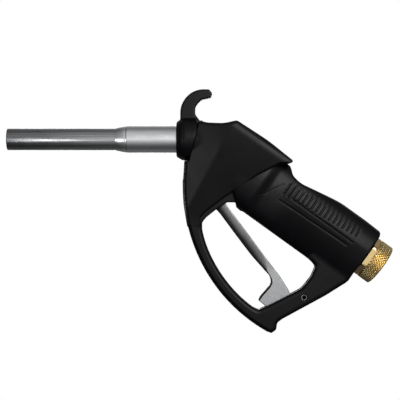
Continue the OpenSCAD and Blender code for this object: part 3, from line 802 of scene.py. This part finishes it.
# near half: a counterbored hole for the hold-open button, which rides in it on its spring
LOCK = (122.1, -152.7)
BUTTON_BORE_R = 3.0
SPRING_BORE_R = 2.0
bore = block.rod((LOCK[0], -20, LOCK[1]), (LOCK[0], -4, LOCK[1]), BUTTON_BORE_R)
near_half = cut(body, bore, 0.2)
bore = block.rod((LOCK[0], -5, LOCK[1]), (LOCK[0], 0, LOCK[1]), SPRING_BORE_R)
near_half = cut(near_half, bore, 0.2)
housing_left = block.skin("housing_near_half", near_half, black_nylon)
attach(housing_left, "body")
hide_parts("housing_left")

# far half: the same moulding mirrored, with counterbored holes for the screws, each given as
# its place and the distance of its head's seat from the mid-plane
SCREWS = [(45, 4, 17), (101, -18.5, 14), (149.6, -119.2, 10), (14, -48, 6), (30, -119, 4.6),
          (82, -177, 4.6), (150, -134, 4.6)]
SCREW_HEAD_R = 3.6
SCREW_SHANK_R = 1.8
far_half = body
for x, z, seat in SCREWS:
    far_half = cut(far_half, block.rod((x, -40, z), (x, -seat, z), SCREW_HEAD_R), 0.5)
    far_half = cut(far_half, block.rod((x, -seat - 1, z), (x, 1, z), SCREW_SHANK_R), 0.2)
housing_right = block.skin("housing_far_half", far_half, black_nylon)
mirrored = np.empty(len(housing_right.data.vertices) * 3, np.float32)
housing_right.data.vertices.foreach_get("co", mirrored)
mirrored[1::3] *= -1
housing_right.data.vertices.foreach_set("co", mirrored)
housing_right.data.flip_normals()
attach(housing_right, "body")
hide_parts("housing_right")


# ---- Screws and other small steel ---------------------------------------------------------
# Seven zinc-plated socket-head screws hold the housing from the far side, and a set screw holds
# the collar from below. The pivot pin, valve stem, springs and strainer are plated too.

zinc = metal("zinc_plate", (0.60, 0.61, 0.60), (0.46, 0.47, 0.46), (0.28, 0.42), 700.0, 0.1,
             length=300.0)
for node in ("housing_screws", "spout_set_screw", "lever_pivot_pin", "lever_spring",
             "lock_spring", "valve_stem", "valve_spring", "inlet_strainer"):
    dress(node, zinc)


# ---- Squeeze lever ------------------------------------------------------------------------
# One aluminium casting, tumbled smooth: a thick bar from the pivot, rounded at the fingers, that
# thins to a flat plate. It turns on a steel pin, and its tail swings in the guard's slot.

# sandy skin all over; painted shade darkens the rounded front and edges, away from the flat sides
cast, add, shader = new_material("cast_aluminium")
place = add("ShaderNodeTexCoord").outputs["Object"]
sand = add("ShaderNodeTexNoise", {"Vector": place, "Scale": 1100.0, "Detail": 3.0})
cloud = add("ShaderNodeTexNoise", {"Vector": place, "Scale": 90.0, "Detail": 4.0})
tone = add("ShaderNodeMix", {0: spread_between(add, sand.outputs[0], 0, 1),
                             6: (0.36, 0.365, 0.37, 1), 7: (0.56, 0.565, 0.57, 1)},
           data_type="RGBA")
facing = add("ShaderNodeSeparateXYZ", {0: add("ShaderNodeTexCoord").outputs["Normal"]})
flatness = add("ShaderNodeMath", {0: facing.outputs["Y"]}, operation="ABSOLUTE")
# painted shade: a fifth as bright where the normal turns from the flat sides
painted_edge_shade = add("ShaderNodeMapRange", {"Value": flatness.outputs[0], "From Min": 0.92,
                                    "From Max": 0.995, "To Min": 0.20, "To Max": 1.02})
tone = add("ShaderNodeVectorMath", {0: tone.outputs[2], 1: painted_edge_shade.outputs[0]},
           operation="MULTIPLY")
links = cast.node_tree.links
links.new(tone.outputs[0], shader.inputs["Base Color"])
links.new(spread_between(add, cloud.outputs[0], 0.34, 0.46), shader.inputs["Roughness"])
links.new(add("ShaderNodeBump", {"Height": sand.outputs[0], "Strength": 0.3,
                                 "Distance": 0.00015}).outputs[0], shader.inputs["Normal"])
shader.inputs["Metallic"].default_value = 1.0

LEVER_STEP = 0.4
PLATE_HALF_W = 2.6
BAR_HALF_W = 5.5
NOSE_DEPTH = 16.0
EDGE_DEPTH = 1.8
NOSE_POWER = 1.7
BOSS_R = 7.9
BOSS_HALF_W = 5.4
CAM_HALF_W = 3.9
PIN_HOLE_R = 3.06
turns = np.radians(np.arange(-54, -63, -1))
plate_outline = np.concatenate([corners([
    [95.9, -171], [83.2, -160], [77.9, -155.6, 0.8], [80, -151.6, 4], [90.6, -139.5, 8],
    [89.3, -132.5, 8], [80, -121.5], [84, -115], [97.5, -130.1, 60], [107.4, -145.6, 30],
    [109.6, -151.5]]),
    np.stack((np.cos(turns), np.sin(turns)), axis=1) * TAIL_R + PIVOT])
bar_outline = corners([
    [29, -60], [41.5, -73], [71.9, -113.6, 90], [88.5, -131.5, 3], [96, -128.5, 3],
    [83.7, -112.6, 90], [68.2, -91.3], [49.1, -66.1, 6], [41.5, -54]])
FRONT_EDGE = [(36, -66), (41.5, -73), (56, -93.5), (71.9, -113.6), (83, -126.4), (87.4, -131.4),
              (90, -136), (90.2, -139.5), (87.8, -143.6), (81, -151.2), (78.4, -155.2)]
UP = np.array((math.sin(GRIP_ANGLE), math.cos(GRIP_ANGLE)))
BACK = np.array((math.cos(GRIP_ANGLE), -math.sin(GRIP_ANGLE)))
cam_outline = np.array([np.array(PIVOT) + n * UP + s * BACK for n, s in
                        ((10.9, 4.5), (10.9, 14.5), (5, 14.5), (-5, 6), (2, -5))])

block = Block((25, -8.5, -184), (113.5, 8.5, -44), LEVER_STEP)
from_front = near_path(block.flat_x, block.flat_z, FRONT_EDGE)
down_bar = (block.flat_x - 41.5) * 0.63 - (block.flat_z + 73) * 0.777
bar_w = (BAR_HALF_W - (BAR_HALF_W - PLATE_HALF_W) * eased(down_bar, 38, 78))[:, None, :]
depth = NOSE_DEPTH + (EDGE_DEPTH - NOSE_DEPTH) * eased(down_bar, 54, 74)
nose = np.clip((depth - from_front) / depth, 0, 1)[:, None, :]
sideways = np.abs(block.y3) / bar_w
nose = ((sideways ** NOSE_POWER + nose ** NOSE_POWER) ** (1 / NOSE_POWER) - 1) * bar_w
side_view = np.minimum(block.outline(bar_outline), block.outline(plate_outline))
lever = rounded_corner(nose, side_view[:, None, :], 0.6)
lever = join(lever, block.pin(PIVOT, BOSS_HALF_W, BOSS_R), 0.8)
lever = join(lever, thick(block.outline(cam_outline), CAM_HALF_W, block.y, 0.4), 0.5)
lever = cut(lever, block.pin(PIVOT, 9, PIN_HOLE_R), 0.2)
lever_casting = block.skin("lever_casting", lever, cast)
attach(lever_casting, "lever")
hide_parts("lever")


# ---- Hold-open button ---------------------------------------------------------------------
# A small domed steel pin in a counterbore of the web, pushed in by hand against its spring.

dark_steel = metal("blackened_steel", (0.10, 0.10, 0.10), (0.06, 0.06, 0.06), (0.30, 0.40),
                   700.0, 0.1, length=300.0)
BUTTON_R = 2.3
BUTTON_STEM_R = 1.9
DOME_HEIGHT = 0.9
dome = [(0.0, 0.02)] + [(DOME_HEIGHT - DOME_HEIGHT * math.cos(a), BUTTON_R * math.sin(a))
                        for a in np.radians(np.arange(12, 91, 13))]
stem = [(1.4, BUTTON_R), (1.4, BUTTON_STEM_R), (4.7, BUTTON_STEM_R), (4.7, 0.02)]
lock_button = lathe("hold_open_pin", dome + stem, 40, dark_steel, (LOCK[0], -8.6, LOCK[1]),
                    (0, 1, 0.0001))
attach(lock_button, "lock")
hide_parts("lock_button")


# ---- Hexagon adapter ----------------------------------------------------------------------
# A brass neck turned from hexagon bar. Its spigot, with a seal in a groove, goes into the
# valve's casting at the butt of the grip, and its front lip holds the swivel collar on.

brass = metal("turned_brass", (1.0, 0.78, 0.40), (0.88, 0.62, 0.25), (0.12, 0.22), 500.0, 0.1,
              length=300.0)
GRIP_AXIS = (-math.cos(GRIP_ANGLE), 0, math.sin(GRIP_ANGLE))
HEXAGON_FLAT = 18.0
HEXAGON_CORNER = 20.5
ADAPTER_BORE_R = 8.6
SPIGOT_R = 10.96


def hexagon(along, turn, r):
    """Mills the adapter's widest ring to a hexagon with its corners turned off round."""
    off_flat = (turn + math.pi / 6) % (math.pi / 3) - math.pi / 6
    milled = np.minimum(HEXAGON_FLAT / np.cos(off_flat), r)
    return np.where(r > HEXAGON_FLAT, milled, r)


inlet_adapter = lathe("hexagon_adapter", [
    (8.8, ADAPTER_BORE_R), (8.8, 14.4), (10.9, 14.4), (10.9, 12.5), (13.2, 12.5), (13.2, 19.9),
    (13.7, HEXAGON_CORNER), (17.6, HEXAGON_CORNER), (18.1, 19.9), (18.1, 13.4), (24, 13.4),
    (24, SPIGOT_R), (30, SPIGOT_R), (30, 9.7), (32, 9.7), (32, SPIGOT_R), (37.4, SPIGOT_R),
    (38, 10.4), (38, ADAPTER_BORE_R)],
    144, brass, (INLET[0], 0, INLET[1]), GRIP_AXIS, hexagon)
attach(inlet_adapter, "body")
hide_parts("inlet_adapter")


# ---- Valve inside -------------------------------------------------------------------------
# An aluminium casting holds a turned brass seat, poppet, cap and gland nut. Nitrile rings, a
# stem packing and the hose washer seal them. None of it shows when the nozzle is closed up.

dress("valve_body", cast)
for node in ("valve_seat", "poppet", "valve_cap", "gland_nut"):
    dress(node, brass)
for node in ("poppet_seal", "cap_o_ring", "stem_packing", "adapter_o_ring", "inlet_washer"):
    dress(node, black_rubber)


# ---- Swivel collar ------------------------------------------------------------------------
# A turned brass ring with a rolled diamond knurl and chamfered ends. It turns loose on the
# adapter's neck and carries the hose thread inside.

COLLAR_LENGTH = 13
KNURL_R = 20.6
KNURL_STARTS = 40
KNURL_DEPTH = 0.9
SIDES_PER_START = 16
THREAD_R = 15.15
THREAD_PITCH = 2.309
THREAD_DEPTH = 1.0

# the knurl's grooves are painted dark brown, painted shade in its hollows
knurled_brass, add, shader = new_material("knurled_brass")
place = add("ShaderNodeTexCoord").outputs["Object"]
marks = place_group(add, drawn_streaks, {"Place": place, "Length": 300.0, "Fineness": 500.0})
# painted shade: colour runs to dark brown where the surface is hollow
raised = add("ShaderNodeMapRange", {"Value": add("ShaderNodeNewGeometry").outputs["Pointiness"],
                                    "From Min": 0.44, "From Max": 0.51})
tint = add("ShaderNodeMix", {0: raised.outputs[0], 6: (0.20, 0.10, 0.03, 1),
                             7: (1.0, 0.78, 0.37, 1)}, data_type="RGBA")
links = knurled_brass.node_tree.links
links.new(tint.outputs[2], shader.inputs["Base Color"])
links.new(spread_between(add, marks.outputs["Cloud"], 0.16, 0.28), shader.inputs["Roughness"])
shader.inputs["Metallic"].default_value = 1.0


def saw(value):
    """A triangle wave from 0 to 1."""
    return np.abs((value % 1.0) * 2 - 1)


def knurl_and_thread(along, turn, r):
    """Rolls the diamond knurl into the outside and cuts the hose thread inside."""
    starts = KNURL_STARTS * turn / (2 * math.pi)
    pitch = 2 * math.pi * KNURL_R / KNURL_STARTS
    peak = np.minimum(saw(starts + along / pitch), saw(starts - along / pitch))
    outside = r > KNURL_R - 0.01
    rolled = r - KNURL_DEPTH * (1 - np.clip(peak * 1.5, 0, 1))
    screwed = r + THREAD_DEPTH * saw(along / THREAD_PITCH + turn / (2 * math.pi))
    inside = (np.abs(r - THREAD_R) < 0.01) & (along > 0.9) & (along < 7.1)
    return np.where(outside, rolled, np.where(inside, screwed, r))


rings = [(COLLAR_LENGTH, 12.58), (11.1, 12.58), (11.1, 15.85), (7.2, 15.85)]
rings += [(s, THREAD_R) for s in np.arange(7.2, 0.8, -0.16)]
rings += [(0.8, THREAD_R), (0, 15.95), (0, 19.4), (0.15, 19.6)]
rings += [(s, KNURL_R) for s in np.arange(0.6, 12.4, 0.17)]
rings += [(12.4, KNURL_R), (12.9, 19.8), (COLLAR_LENGTH, 19.5)]
swivel_collar = lathe("knurled_collar", rings, KNURL_STARTS * SIDES_PER_START, knurled_brass,
                      (INLET[0], 0, INLET[1]), GRIP_AXIS, knurl_and_thread)
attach(swivel_collar, "swivel")
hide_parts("swivel_collar")
